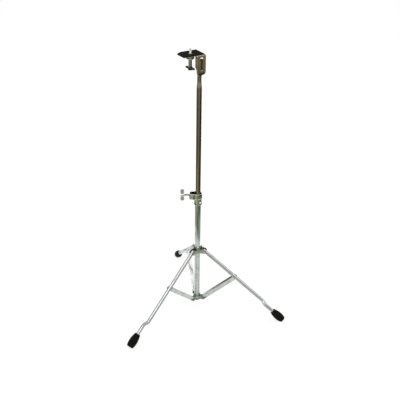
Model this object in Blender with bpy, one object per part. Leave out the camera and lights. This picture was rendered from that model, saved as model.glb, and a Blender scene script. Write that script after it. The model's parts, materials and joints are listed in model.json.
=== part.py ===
"""Practice pad stand: a folding tripod, a telescopic mast and a tilting bracket for the pad.

Metres, +Z up. Every piece is drawn with the mast on the Z axis and the feet on z = 0.
The whole stand is then moved so that the middle of its bounding box lies over the origin.
"""
import math

import bmesh
import bpy
from mathutils import Matrix, Vector

# Fits and facets
FIT = 0.0003
ROUND_SIDES = 28
TUBE_SIDES = 16
MEDIUM_SIDES = 20
SMALL_SIDES = 14
ARC_STEPS = 7

# Tubes of the mast
BASE_TUBE_OD = 0.01905
TUBE_WALL = 0.0012
BASE_TUBE_STICKOUT = 0.0020
BASE_TUBE_TOP = 0.4470
UPPER_TUBE_OD = 0.0159
UPPER_TUBE_INSERTION = 0.088
SWAGE_LENGTH = 0.0210
SWAGE_STEPS = 6
NECK_OD = 0.0127
NECK_LENGTH = 0.0140

# Guide plug in the lower end of the upper tube
PLUG_FLANGE = 0.004
PLUG_STEM = 0.014

# Tongue at the top of the mast, and its pivot
PIVOT_HEIGHT = 0.880
PIVOT_ABOVE_NECK = 0.0190
TONGUE_WIDTH = 0.019
TONGUE_THICKNESS = 0.004
TONGUE_SHAPING = 0.010
PIVOT_BOLT_DIAMETER = 0.005
PIVOT_HEAD_DIAMETER = 0.0095
PIVOT_HEAD_HEIGHT = 0.0032
PIVOT_NUT_WIDTH = 0.0085
PIVOT_NUT_HEIGHT = 0.004
FRICTION_WASHER_WIDTH = 0.0165
FRICTION_WASHER_THICKNESS = 0.0015
PIVOT_SPACER_DIAMETER = 0.0090
PIVOT_SPACER_THICKNESS = 0.0018

# Bracket, pressed from one sheet
SHEET = 0.0016
PLATE_LENGTH = 0.0720
PLATE_DEPTH = 0.0515
PLATE_ABOVE_PIVOT = 0.0470
PLATE_RIGHT_EDGE = 0.0145
PLATE_CORNER = 0.0025
PLATE_CLIP_LENGTH = 0.0146
PLATE_CLIP_DEPTH = 0.0098
BEND_RADIUS = 0.0026
FACE_WIDTH = 0.0305
FACE_BELOW_PIVOT = 0.0115
FACE_CORNER = 0.0110
WALL_DEPTH = 0.0105
WALL_RELIEF = 0.0014
WALL_FRONT_ABOVE_PIVOT = 0.0035
WALL_BACK_ABOVE_PIVOT = 0.0115
SLOT_LENGTH = 0.0310
SLOT_CLEARANCE = 0.0004
KEYHOLE_DIAMETER = 0.0110
KEYHOLE_BELOW_PLATE = 0.0120
HEAD_TRAVEL = 0.0080
RUBBER_THICKNESS = 0.0023
RUBBER_INSET = 0.0010
RUBBER_RIGHT_INSET = 0.0040
RUBBER_CORNER = 0.0030

# Screw that holds the pad
PAD_SCREW_FROM_RIGHT = 0.0370
PAD_SCREW_FROM_FRONT = 0.0270
PAD_STUD_DIAMETER = 0.00635
PAD_STUD_HEIGHT = 0.0140
PAD_NUT_WIDTH = 0.0111
PAD_NUT_HEIGHT = 0.0019
PAD_NUT_CLEARANCE = 0.0006
CUP_DIAMETER = 0.0240
CUP_HEIGHT = 0.0135
CUP_EDGE = 0.0045
CUP_WALL = 0.0018
BARREL_DIAMETER = 0.0103
BARREL_LENGTH = 0.0318
PAD_HUB_DIAMETER = 0.0125
PAD_HUB_HEIGHT = 0.0120
PAD_WING_SPAN = 0.0380
PAD_WING_TIP_RADIUS = 0.0025
PAD_WING_OPENING = 75.0
PAD_WING_THICKNESS = 0.0028
PAD_WING_TURN = 14.0

# Height collar
COLLAR_SLEEVE_LENGTH = 0.0218
COLLAR_SLEEVE_LAP = 0.0024
COLLAR_CUP_HEIGHT = 0.0215
COLLAR_EDGE_RADIUS = 0.0055
COLLAR_FLOOR = 0.0035
COLLAR_RADIUS = 0.0134
COLLAR_NOSE_WIDTH = 0.0230
COLLAR_NOSE_CORNER = 0.0065
COLLAR_NOSE_REACH = 0.0285
COLLAR_WALL = 0.0021
COLLAR_SLEEVE_OD = 0.0235
COLLAR_BEAD_PROUD = 0.00105
COLLAR_BEAD_HEIGHT = 0.0050
COLLAR_BEAD_EDGE = 0.0024
COLLAR_BEAD_TAPER = 0.0025
COLLAR_TURN = 151.0
COLLAR_RIVET_TURN = -82.0
COLLAR_RIVET_DIAMETER = 0.0045
COLLAR_RIVET_HEAD_DIAMETER = 0.0072
COLLAR_RIVET_HEAD_HEIGHT = 0.0022
CLAMP_AXIS_DROP = 0.0068
CLAMP_SCREW_DIAMETER = 0.0060
CLAMP_SCREW_REACH = 0.0450
CLAMP_NUT_WIDTH = 0.0080
CLAMP_NUT_THICKNESS = 0.0050
CLAMP_SHOE_WIDTH = 0.0100
CLAMP_SHOE_HEIGHT = 0.0110
CLAMP_SHOE_THICKNESS = 0.0035
CLAMP_HUB_DIAMETER = 0.0100
CLAMP_HUB_LENGTH = 0.0130
CLAMP_WING_SPAN = 0.0420
CLAMP_WING_LOBE_DIAMETER = 0.0130
CLAMP_WING_WAIST = 0.0080
CLAMP_WING_OPENING = 120.0
CLAMP_WING_THICKNESS = 0.0030

# Tripod
LEG_AZIMUTHS = (-44.2, 75.8, 195.8)
LEG_TUBE_OD = 0.0127
LEG_TUBE_WALL = 0.0011
BRACE_ANGLE = 45.2
RUNNER_PIVOT_RADIUS = 0.02455
LOWER_PIVOT_RADIUS = 0.0228
LOWER_PIVOT_HEIGHT = 0.0368
BRACE_LENGTH = 0.1598
LEG_UPPER_LENGTH = 0.1451
LEG_TOP_OVERHANG = 0.0062
JOGGLE_TO_FOOT = 0.0540
JOGGLE_LENGTH = 0.0220
JOGGLE_OFFSET = 0.0095
FOOT_OFF_FLOOR = 0.0032
FOOT_LENGTH = 0.0480
FOOT_TOP_DIAMETER = 0.0190
FOOT_WIDEST_DIAMETER = 0.0290
FOOT_WIDEST_DOWN = 0.0300
FOOT_END_DIAMETER = 0.0205
FOOT_EDGE = 0.0010
FOOT_BORE_DEPTH = 0.0400
CLEVIS_CLEARANCE = 0.0003
BRACE_SHEET = 0.0012
BRACE_WEB_OFFSET = 0.0075
BRACE_WEB_SETBACK = 0.0090
BRACE_END_RADIUS = 0.0055
RIVET_DIAMETER = 0.0045
RIVET_HEAD_DIAMETER = 0.0085
RIVET_HEAD_HEIGHT = 0.0018
LEG_BUSH_DIAMETER = 0.0062

# Castings that carry the tripod
SPIDER_OD = 0.0250
LOWER_SPIDER_DROP = 0.0088
LOWER_SPIDER_HEIGHT = 0.0170
LUG_RADIUS = 0.0060
RUNNER_HEIGHT = 0.0190
RUNNER_DROP = 0.0085
EAR_THICKNESS = 0.0020
EAR_RADIUS = 0.0075
RUNNER_SCREW_DIAMETER = 0.0050
RUNNER_SCREW_LENGTH = 0.0100
RUNNER_KNOB_DIAMETER = 0.0110
RUNNER_KNOB_LENGTH = 0.0070

# Sizes that follow from the ones above
BASE_TUBE_ID = BASE_TUBE_OD - 2 * TUBE_WALL
UPPER_TUBE_ID = UPPER_TUBE_OD - 2 * TUBE_WALL
UPPER_TUBE_BOTTOM = BASE_TUBE_TOP - UPPER_TUBE_INSERTION
NECK_TOP = PIVOT_HEIGHT - PIVOT_ABOVE_NECK
SWAGE_TOP = NECK_TOP - NECK_LENGTH
SWAGE_BOTTOM = SWAGE_TOP - SWAGE_LENGTH
COLLAR_BOTTOM = BASE_TUBE_TOP - COLLAR_SLEEVE_LENGTH
COLLAR_TOP = BASE_TUBE_TOP + COLLAR_CUP_HEIGHT
COLLAR_RIVET_HEIGHT = (COLLAR_BOTTOM + BASE_TUBE_TOP) / 2
CLAMP_AXIS_HEIGHT = COLLAR_TOP - CLAMP_AXIS_DROP
CLEVIS_GAP = LEG_TUBE_OD + 2 * CLEVIS_CLEARANCE
BRACE_WIDTH = CLEVIS_GAP + 2 * BRACE_SHEET
LUG_WIDTH = CLEVIS_GAP - 4 * FIT
TONGUE_FRONT = -NECK_OD / 2
SPACER_FRONT = TONGUE_FRONT - FIT - PIVOT_SPACER_THICKNESS
WASHER_FRONT = SPACER_FRONT - FIT - FRICTION_WASHER_THICKNESS
FACE_FRONT = WASHER_FRONT - FIT - SHEET
JOINT_RADIUS = LOWER_PIVOT_RADIUS + BRACE_LENGTH * math.sin(math.radians(BRACE_ANGLE))
JOINT_HEIGHT = LOWER_PIVOT_HEIGHT + BRACE_LENGTH * math.cos(math.radians(BRACE_ANGLE))
LEG_ANGLE = math.degrees(math.asin((JOINT_RADIUS - RUNNER_PIVOT_RADIUS) / LEG_UPPER_LENGTH))
RUNNER_PIVOT_HEIGHT = JOINT_HEIGHT + LEG_UPPER_LENGTH * math.cos(math.radians(LEG_ANGLE))
RUNNER_BOTTOM = RUNNER_PIVOT_HEIGHT - RUNNER_DROP
FLOOR_ALONG_LEG = JOINT_HEIGHT / math.cos(math.radians(LEG_ANGLE))
FOOT_TOP = FLOOR_ALONG_LEG - FOOT_OFF_FLOOR - FOOT_LENGTH
JOGGLE_START = FOOT_TOP - JOGGLE_TO_FOOT
LOWER_SPIDER_BOTTOM = LOWER_PIVOT_HEIGHT - LOWER_SPIDER_DROP
BASE_TUBE_BOTTOM = LOWER_SPIDER_BOTTOM - BASE_TUBE_STICKOUT
PLATE_TOP = PIVOT_HEIGHT + PLATE_ABOVE_PIVOT
FACE_BOTTOM = PIVOT_HEIGHT - FACE_BELOW_PIVOT
WALL_FRONT_HEIGHT = PIVOT_HEIGHT + WALL_FRONT_ABOVE_PIVOT
WALL_BACK_HEIGHT = PIVOT_HEIGHT + WALL_BACK_ABOVE_PIVOT
PAD_SCREW_X = PLATE_RIGHT_EDGE - PAD_SCREW_FROM_RIGHT
PAD_SCREW_Y = FACE_FRONT + PAD_SCREW_FROM_FRONT
PLATE_BOTTOM = PLATE_TOP - SHEET
FRICTION_WASHER_TOP = PLATE_BOTTOM - HEAD_TRAVEL - (BEND_RADIUS - SHEET) - FIT
RUNNER_SCREW_TURN = LEG_AZIMUTHS[0] + 60

FINISHES = {
    "chrome": ((0.62, 0.65, 0.62), 0.18, 1.0),
    "aged_nickel": ((0.36, 0.31, 0.23), 0.30, 1.0),
    "zinc": ((0.55, 0.55, 0.52), 0.35, 1.0),
    "black_rubber": ((0.012, 0.013, 0.012), 0.70, 0.0),
    "dark_steel": ((0.07, 0.08, 0.08), 0.40, 1.0),
    "nylon": ((0.55, 0.55, 0.50), 0.50, 0.0),
}


def clear_scene():
    """Removes whatever objects the file opened with."""
    for item in list(bpy.data.objects):
        bpy.data.objects.remove(item, do_unlink=True)


def finish_material(finish, name):
    """One Principled material for one piece."""
    colour, roughness, metallic = FINISHES[finish]
    material = bpy.data.materials.new(name + "_" + finish)
    material.use_nodes = True
    shader = material.node_tree.nodes["Principled BSDF"]
    shader.inputs["Base Color"].default_value = (*colour, 1.0)
    shader.inputs["Roughness"].default_value = roughness
    shader.inputs["Metallic"].default_value = metallic
    return material


def tidy_mesh(bm):
    """Merges doubled points and turns the faces outwards."""
    bmesh.ops.remove_doubles(bm, verts=bm.verts, dist=2e-6)
    bmesh.ops.dissolve_degenerate(bm, edges=bm.edges, dist=1e-7)
    bmesh.ops.recalc_face_normals(bm, faces=bm.faces)
    return bm


def piece(name, bm, finish, parent):
    """A named object that holds the mesh, under its parent empty."""
    tidy_mesh(bm)
    mesh = bpy.data.meshes.new(name)
    bm.to_mesh(mesh)
    bm.free()
    mesh.shade_smooth()
    mesh.set_sharp_from_angle(angle=math.radians(35))
    mesh.materials.append(finish_material(finish, name))
    item = bpy.data.objects.new(name, mesh)
    bpy.context.scene.collection.objects.link(item)
    item.parent = parent
    return item


def frame_empty(name, parent=None, location=(0, 0, 0), turn=0.0, lean=0.0):
    """An empty on a joint's axis: turned about Z, then leant about its own Y axis, in degrees."""
    item = bpy.data.objects.new(name, None)
    bpy.context.scene.collection.objects.link(item)
    item.parent = parent
    item.location = location
    item.rotation_euler = (0, math.radians(lean), math.radians(turn))
    return item


def moved(bm, matrix):
    """The mesh after a move or a turn."""
    bmesh.ops.transform(bm, matrix=matrix, verts=bm.verts)
    return bm


def shift(x, y, z):
    """A matrix that moves."""
    return Matrix.Translation((x, y, z))


def rotation(degrees, axis):
    """A matrix that turns about an axis through the origin."""
    return Matrix.Rotation(math.radians(degrees), 4, axis)


def turned(profile, sides=ROUND_SIDES):
    """A body turned about Z from (radius, height) points; it closes on itself or on the axis."""
    bm = bmesh.new()
    verts = [bm.verts.new((radius, 0, height)) for radius, height in profile]
    edges = [bm.edges.new(pair) for pair in zip(verts, verts[1:])]
    if profile[0][0] > 0:
        edges.append(bm.edges.new((verts[-1], verts[0])))
    bmesh.ops.spin(bm, geom=verts + edges, cent=(0, 0, 0), axis=(0, 0, 1),
                   angle=2 * math.pi, steps=sides, use_merge=True, use_duplicate=False)
    return tidy_mesh(bm)


def ring(outer, inner, low, high, sides=ROUND_SIDES):
    """A plain tube or washer about Z."""
    return turned([(inner, low), (outer, low), (outer, high), (inner, high)], sides)


def rod(radius, low, high, sides=ROUND_SIDES):
    """A plain round bar about Z."""
    return turned([(0, low), (radius, low), (radius, high), (0, high)], sides)


def prism(outline, low, high):
    """An outline of (x, y) points, extruded along Z."""
    bm = bmesh.new()
    floor = bm.faces.new([bm.verts.new((x, y, low)) for x, y in outline])
    raised = bmesh.ops.extrude_face_region(bm, geom=[floor])
    tops = [item for item in raised["geom"] if isinstance(item, bmesh.types.BMVert)]
    bmesh.ops.translate(bm, verts=tops, vec=(0, 0, high - low))
    return tidy_mesh(bm)


def upright_prism(outline, near, far):
    """An outline of (x, z) points, extruded along Y from near to far."""
    return moved(prism(outline, -far, -near), rotation(90, "X"))


def arc(centre, radius, start, end, steps=ARC_STEPS):
    """Points along an arc, angles in degrees, both ends included."""
    angles = [math.radians(start + (end - start) * step / steps) for step in range(steps + 1)]
    return [(centre[0] + radius * math.cos(a), centre[1] + radius * math.sin(a)) for a in angles]


def slot_outline(x, low, high, radius):
    """An upright slot with round ends, as (x, z) points."""
    return arc((x, high), radius, 0, 180) + arc((x, low), radius, 180, 360)


def combined(body, tool, operation):
    """The first mesh after a Boolean with the second; both are used up."""
    items = []
    for bm in (body, tool):
        mesh = bpy.data.meshes.new("boolean_step")
        bm.to_mesh(mesh)
        bm.free()
        items.append(bpy.data.objects.new("boolean_step", mesh))
        bpy.context.scene.collection.objects.link(items[-1])
    modifier = items[0].modifiers.new("boolean_step", "BOOLEAN")
    modifier.operation = operation
    modifier.solver = "EXACT"
    modifier.object = items[1]
    graph = bpy.context.evaluated_depsgraph_get()
    result = bmesh.new()
    result.from_mesh(items[0].evaluated_get(graph).to_mesh())
    for item in items:
        mesh = item.data
        bpy.data.objects.remove(item, do_unlink=True)
        bpy.data.meshes.remove(mesh)
    return tidy_mesh(result)


def joined(body, tool):
    """Two meshes made one solid."""
    return combined(body, tool, "UNION")


def cut(body, tool):
    """A mesh with another taken out of it."""
    return combined(body, tool, "DIFFERENCE")


def cross_hole(radius, x, z, reach):
    """A round cutter along Y through (x, z)."""
    return moved(rod(radius, -reach, reach, SMALL_SIDES), shift(x, 0, z) @ rotation(90, "X"))


def hexagon(width, low, high):
    """A six-sided nut blank about Z."""
    corners = arc((0, 0), width / math.sqrt(3), 0, 300, 5)
    return prism(corners, low, high)


# Mast


def base_tube():
    """The lower tube, fixed in the lower spider and the height collar."""
    tube = ring(BASE_TUBE_OD / 2, BASE_TUBE_ID / 2, BASE_TUBE_BOTTOM, BASE_TUBE_TOP)
    return cut(tube, collar_rivet_hole())


def flattened(vert):
    """Moves a point of the neck to its place on the tongue, which is pressed flat and to the front."""
    share = min(1.0, (vert.co.z - NECK_TOP) / TONGUE_SHAPING)
    if share <= 0:
        return
    blend = share * share * (3 - 2 * share)
    radius = math.hypot(vert.co.x, vert.co.y)
    angle = math.atan2(vert.co.y, vert.co.x)
    scale = radius / (NECK_OD / 2)
    power = 1.0 - 0.5 * blend
    half_width = NECK_OD / 2 + (TONGUE_WIDTH - NECK_OD) / 2 * blend
    half_depth = NECK_OD / 2 + (TONGUE_THICKNESS - NECK_OD) / 2 * blend
    middle = (TONGUE_FRONT + TONGUE_THICKNESS / 2) * blend
    cosine = math.cos(angle)
    sine = math.sin(angle)
    vert.co.x = scale * half_width * math.copysign(abs(cosine) ** power, cosine)
    vert.co.y = middle + scale * half_depth * math.copysign(abs(sine) ** power, sine)


def upper_tube():
    """The sliding tube: swaged to a neck, then pressed flat into a rounded tongue."""
    outer = UPPER_TUBE_OD / 2
    inner = UPPER_TUBE_ID / 2
    neck = NECK_OD / 2
    top = PIVOT_HEIGHT + TONGUE_WIDTH
    shares = [step / SWAGE_STEPS for step in range(SWAGE_STEPS + 1)]
    swage = [(outer + (neck - outer) * (1 - math.cos(math.pi * share)) / 2,
              SWAGE_BOTTOM + SWAGE_LENGTH * share) for share in shares]
    shaping = [(neck, NECK_TOP + TONGUE_SHAPING * share) for share in shares]
    bm = turned([(0, SWAGE_BOTTOM), (inner, SWAGE_BOTTOM), (inner, UPPER_TUBE_BOTTOM),
                 (outer, UPPER_TUBE_BOTTOM)] + swage + shaping + [(neck, top), (0, top)])
    for vert in bm.verts:
        flattened(vert)
    reach = TONGUE_WIDTH
    arch = (arc((0, PIVOT_HEIGHT), TONGUE_WIDTH / 2, 180, 0, 12)
            + [(reach, PIVOT_HEIGHT), (reach, top + reach), (-reach, top + reach),
               (-reach, PIVOT_HEIGHT)])
    bm = cut(bm, upright_prism(arch, -reach, reach))
    return cut(bm, cross_hole(PIVOT_BOLT_DIAMETER / 2 + FIT, 0, PIVOT_HEIGHT, reach))


def guide_plug():
    """A plastic plug pushed into the upper tube, whose flange centres it in the base tube."""
    flange = BASE_TUBE_ID / 2 - FIT
    stem = UPPER_TUBE_ID / 2 - FIT
    bottom = UPPER_TUBE_BOTTOM - FIT - PLUG_FLANGE
    shoulder = UPPER_TUBE_BOTTOM - FIT
    return turned([(0, bottom), (flange, bottom), (flange, shoulder), (stem, shoulder),
                   (stem, shoulder + PLUG_STEM), (0, shoulder + PLUG_STEM)])


# Height collar


def cup_outline(inset):
    """The cup's plan: a round end about the mast and a blunt nose, all drawn in by an inset."""
    along = COLLAR_NOSE_REACH - COLLAR_NOSE_CORNER
    aside = COLLAR_NOSE_WIDTH / 2 - COLLAR_NOSE_CORNER
    corner = COLLAR_NOSE_CORNER - inset
    tangent = math.acos((COLLAR_RADIUS - COLLAR_NOSE_CORNER) / math.hypot(along, aside))
    lean = math.degrees(tangent + math.atan2(aside, along))
    return (arc((0, 0), COLLAR_RADIUS - inset, lean, 360 - lean, 16)
            + arc((along, -aside), corner, -lean, 0, 4) + arc((along, aside), corner, 0, lean, 4))


def radial(bm, turn, height):
    """Turns a mesh drawn along Z so that it points out from the mast at a height."""
    return moved(bm, rotation(turn, "Z") @ shift(0, 0, height) @ rotation(90, "Y"))


def collar_rivet_hole():
    """The cutter for the rivet that holds the collar on the base tube."""
    return radial(rod(COLLAR_RIVET_DIAMETER / 2 + FIT, 0, COLLAR_SLEEVE_OD, SMALL_SIDES),
                  COLLAR_RIVET_TURN, COLLAR_RIVET_HEIGHT)


def collar_rivet():
    """The domed rivet on the front of the collar's sleeve."""
    shank = COLLAR_RIVET_DIAMETER / 2
    start = BASE_TUBE_ID / 2 + 2 * FIT
    seat = COLLAR_SLEEVE_OD / 2 + FIT
    profile = ([(0, start), (shank, start), (shank, seat)]
               + dome(seat, COLLAR_RIVET_HEAD_HEIGHT, COLLAR_RIVET_HEAD_DIAMETER / 2))
    return radial(turned(profile, SMALL_SIDES), COLLAR_RIVET_TURN, COLLAR_RIVET_HEIGHT)


def collar_sleeve():
    """The solid blank of the sleeve, with the rolled bead at its lower end."""
    plain = COLLAR_SLEEVE_OD / 2
    bead = plain + COLLAR_BEAD_PROUD
    edge = COLLAR_BEAD_EDGE
    bead_top = COLLAR_BOTTOM + COLLAR_BEAD_HEIGHT
    top = BASE_TUBE_TOP + COLLAR_SLEEVE_LAP
    return turned([(0, COLLAR_BOTTOM)] + arc((bead - edge, COLLAR_BOTTOM + edge), edge, -90, 0, 4)
                  + [(bead, bead_top), (plain, bead_top + COLLAR_BEAD_TAPER), (plain, top), (0, top)])


def height_collar():
    """The cast collar: a beaded sleeve on the base tube, and an open cup with a blunt nose above it."""
    cup_bottom = BASE_TUBE_TOP
    cup = prism(cup_outline(0), cup_bottom, COLLAR_TOP)
    lower_edges = [edge for edge in cup.edges
                   if all(vert.co.z < cup_bottom + FIT for vert in edge.verts)]
    bmesh.ops.bevel(cup, geom=lower_edges, offset=COLLAR_EDGE_RADIUS, segments=3, profile=0.5,
                    affect="EDGES", material=-1)
    bm = joined(tidy_mesh(cup), collar_sleeve())
    bm = cut(bm, prism(cup_outline(COLLAR_WALL), cup_bottom + COLLAR_FLOOR, COLLAR_TOP + COLLAR_WALL))
    bore = UPPER_TUBE_OD / 2 + FIT
    seat = BASE_TUBE_OD / 2 + FIT
    bm = cut(bm, rod(bore, COLLAR_BOTTOM - COLLAR_WALL, COLLAR_TOP))
    bm = cut(bm, rod(seat, COLLAR_BOTTOM - COLLAR_WALL, BASE_TUBE_TOP + FIT))
    bm = moved(bm, rotation(COLLAR_TURN, "Z"))
    hole = rod(CLAMP_SCREW_DIAMETER / 2 + FIT, UPPER_TUBE_OD, COLLAR_NOSE_REACH * 1.5, SMALL_SIDES)
    bm = cut(bm, radial(hole, COLLAR_TURN, CLAMP_AXIS_HEIGHT))
    return cut(bm, collar_rivet_hole())


def clamp_shoe():
    """The block in the cup that the screw presses on the upper tube."""
    grip = UPPER_TUBE_OD / 2 + FIT
    half = CLAMP_SHOE_WIDTH / 2
    low = CLAMP_AXIS_HEIGHT - CLAMP_SHOE_HEIGHT / 2
    bm = prism([(0, -half), (grip + CLAMP_SHOE_THICKNESS, -half),
                (grip + CLAMP_SHOE_THICKNESS, half), (0, half)], low, low + CLAMP_SHOE_HEIGHT)
    bm = cut(bm, rod(grip, low - half, low + CLAMP_SHOE_HEIGHT + half))
    return moved(bm, rotation(COLLAR_TURN, "Z"))


def clamp_nut():
    """The square nut held against the nose of the cup."""
    half = CLAMP_NUT_WIDTH / 2
    far = COLLAR_NOSE_REACH - COLLAR_WALL - FIT
    bm = prism([(-half, -half), (half, -half), (half, half), (-half, half)],
               far - CLAMP_NUT_THICKNESS, far)
    bm = cut(bm, rod(CLAMP_SCREW_DIAMETER / 2 + FIT, 0, COLLAR_NOSE_REACH * 2, SMALL_SIDES))
    return radial(bm, COLLAR_TURN, CLAMP_AXIS_HEIGHT)


def wing_outline(span, lobe, waist, opening):
    """Two wings with round tips on a waist, as (across, along) points about the middle.

    The lobe is a tip's radius. The opening is how far its arc runs each way, in degrees.
    """
    right = arc((span / 2 - lobe, 0), lobe, -opening, opening, 9)
    left = [(-x, y) for x, y in reversed(right)]
    return right + [(0, waist / 2)] + left + [(0, -waist / 2)]


def clamp_screw():
    """The wing screw of the height collar, drawn along Z from the mast outwards."""
    start = UPPER_TUBE_OD / 2 + CLAMP_SHOE_THICKNESS + 2 * FIT
    end = CLAMP_SCREW_REACH + CLAMP_HUB_LENGTH
    middle = CLAMP_SCREW_REACH + CLAMP_HUB_LENGTH / 2
    hub = CLAMP_HUB_DIAMETER / 2
    screw = CLAMP_SCREW_DIAMETER / 2
    edge = hub - screw
    bm = turned([(0, start), (screw, start), (screw, CLAMP_SCREW_REACH - edge), (hub, CLAMP_SCREW_REACH),
                 (hub, end - edge), (hub - edge / 2, end), (0, end)], SMALL_SIDES)
    lobe = CLAMP_WING_LOBE_DIAMETER / 2
    outline = wing_outline(CLAMP_WING_SPAN, lobe, CLAMP_WING_WAIST, CLAMP_WING_OPENING)
    wings = upright_prism(outline, -CLAMP_WING_THICKNESS / 2, CLAMP_WING_THICKNESS / 2)
    return joined(bm, moved(wings, shift(0, 0, middle)))


# Tripod castings


def clevis_cheek(side):
    """One ear of the runner, beside a leg, drawn along X."""
    inner = BASE_TUBE_OD / 2 - TUBE_WALL / 2
    radius = EAR_RADIUS
    outline = (arc((RUNNER_PIVOT_RADIUS, RUNNER_PIVOT_HEIGHT), radius, -90, 90)
               + [(inner, RUNNER_PIVOT_HEIGHT + radius), (inner, RUNNER_PIVOT_HEIGHT - radius)])
    near = side * CLEVIS_GAP / 2
    far = side * (CLEVIS_GAP / 2 + EAR_THICKNESS)
    return upright_prism(outline, min(near, far), max(near, far))


def runner():
    """The sliding casting: a sleeve on the base tube with a fork for each leg."""
    top = RUNNER_BOTTOM + RUNNER_HEIGHT
    bm = rod(SPIDER_OD / 2, RUNNER_BOTTOM, top)
    for azimuth in LEG_AZIMUTHS:
        for side in (-1, 1):
            bm = joined(bm, moved(clevis_cheek(side), rotation(azimuth, "Z")))
    bm = cut(bm, rod(BASE_TUBE_OD / 2 + FIT, RUNNER_BOTTOM - EAR_RADIUS, top + EAR_RADIUS))
    for azimuth in LEG_AZIMUTHS:
        hole = cross_hole(RIVET_DIAMETER / 2 + FIT, RUNNER_PIVOT_RADIUS, RUNNER_PIVOT_HEIGHT, CLEVIS_GAP)
        bm = cut(bm, moved(hole, rotation(azimuth, "Z")))
    hole = rod(RUNNER_SCREW_DIAMETER / 2 + FIT, 0, SPIDER_OD, SMALL_SIDES)
    return cut(bm, radial(hole, RUNNER_SCREW_TURN, RUNNER_BOTTOM + RUNNER_HEIGHT / 2))


def runner_screw():
    """The small round-headed screw that locks the runner, drawn along Z."""
    start = BASE_TUBE_OD / 2 + FIT
    shoulder = start + RUNNER_SCREW_LENGTH
    end = shoulder + RUNNER_KNOB_LENGTH
    knob = RUNNER_KNOB_DIAMETER / 2
    edge = RUNNER_KNOB_LENGTH / 8
    screw = RUNNER_SCREW_DIAMETER / 2
    return turned([(0, start), (screw, start), (screw, shoulder), (knob - edge, shoulder),
                   (knob, shoulder + edge), (knob, end - edge), (knob - edge, end), (0, end)])


def lug():
    """One lug of the lower casting, which fits inside a brace, drawn along X."""
    inner = BASE_TUBE_OD / 2 + TUBE_WALL / 2
    outline = (arc((LOWER_PIVOT_RADIUS, LOWER_PIVOT_HEIGHT), LUG_RADIUS, -90, 90)
               + [(inner, LOWER_PIVOT_HEIGHT + LUG_RADIUS), (inner, LOWER_PIVOT_HEIGHT - LUG_RADIUS)])
    return upright_prism(outline, -LUG_WIDTH / 2, LUG_WIDTH / 2)


def lower_spider():
    """The fixed casting at the foot of the base tube, with a lug for each brace."""
    low = LOWER_SPIDER_BOTTOM
    high = low + LOWER_SPIDER_HEIGHT
    bm = rod(SPIDER_OD / 2, low, high)
    for azimuth in LEG_AZIMUTHS:
        bm = joined(bm, moved(lug(), rotation(azimuth, "Z")))
    bm = cut(bm, rod(BASE_TUBE_OD / 2 + FIT, low - LUG_RADIUS, high + LUG_RADIUS))
    for azimuth in LEG_AZIMUTHS:
        hole = cross_hole(RIVET_DIAMETER / 2 + FIT, LOWER_PIVOT_RADIUS, LOWER_PIVOT_HEIGHT, CLEVIS_GAP)
        bm = cut(bm, moved(hole, rotation(azimuth, "Z")))
    return bm


# Legs and braces


def dome(seat, height, radius):
    """The profile of a rivet head that stands on a seat, as (radius, height) points."""
    return [(radius, seat), (radius * 0.9, seat + height * 0.5), (radius * 0.55, seat + height * 0.9),
            (0, seat + height)]


def rivet():
    """A rivet with two domed heads, lying along Y and centred on the origin."""
    seat = BRACE_WIDTH / 2 + FIT
    shank = RIVET_DIAMETER / 2
    upper = dome(seat, RIVET_HEAD_HEIGHT, RIVET_HEAD_DIAMETER / 2)
    lower = [(radius, -height) for radius, height in reversed(upper)]
    return moved(turned(lower + [(shank, -seat), (shank, seat)] + upper, SMALL_SIDES), rotation(-90, "X"))


def rivet_end(side):
    """One headed end of a leg's rivet, in the ear of the runner, lying along Y."""
    start = CLEVIS_GAP / 2
    seat = start + EAR_THICKNESS + FIT
    shank = RIVET_DIAMETER / 2
    bm = turned([(0, start), (shank, start), (shank, seat)]
                + dome(seat, RIVET_HEAD_HEIGHT, RIVET_HEAD_DIAMETER / 2), SMALL_SIDES)
    return moved(bm, rotation(-90 * side, "X"))


def at_leg(bm, azimuth, radius, height):
    """A mesh moved out to a leg's pivot on the mast."""
    return moved(bm, rotation(azimuth, "Z") @ shift(radius, 0, height))


def brace():
    """A pressed channel, open on its outer side, drawn along Z from its lower pivot."""
    half = BRACE_WIDTH / 2
    back = -BRACE_WEB_OFFSET - BRACE_SHEET
    low = BRACE_WEB_SETBACK
    high = BRACE_LENGTH - BRACE_WEB_SETBACK
    outline = ([(back, high), (back, low)] + arc((0, 0), BRACE_END_RADIUS, 180, 360)
               + arc((0, BRACE_LENGTH), BRACE_END_RADIUS, 0, 180))
    bm = upright_prism(outline, -half, half)
    corners = [edge for edge in bm.edges
               if all(abs(vert.co.x - back) < FIT and abs(abs(vert.co.y) - half) < FIT for vert in edge.verts)
               and abs(edge.verts[0].co.y - edge.verts[1].co.y) < FIT]
    bmesh.ops.bevel(bm, geom=corners, offset=BRACE_SHEET * 1.2, segments=3, profile=0.5,
                    affect="EDGES", material=-1)
    far = BRACE_LENGTH + BRACE_WEB_OFFSET * 2
    inside = [(-far, -far), (far, -far), (far, far), (-far, far), (-far, high),
              (-BRACE_WEB_OFFSET, high), (-BRACE_WEB_OFFSET, low), (-far, low)]
    bm = cut(tidy_mesh(bm), upright_prism(inside, -CLEVIS_GAP / 2, CLEVIS_GAP / 2))
    for height in (0, BRACE_LENGTH):
        bm = cut(bm, cross_hole(RIVET_DIAMETER / 2 + FIT, 0, height, BRACE_WIDTH))
    return bm


def leg_path():
    """Centre line of a leg from its top to its lower end, as (y, z) points about the brace rivet."""
    steps = 6
    points = [(0, LEG_UPPER_LENGTH + LEG_TOP_OVERHANG)]
    for step in range(steps + 1):
        share = step / steps
        side = -JOGGLE_OFFSET * (1 - math.cos(math.pi * share)) / 2
        points.append((side, -JOGGLE_START - JOGGLE_LENGTH * share))
    return points + [(-JOGGLE_OFFSET, -FOOT_TOP - FOOT_BORE_DEPTH + FIT * 2)]


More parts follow.
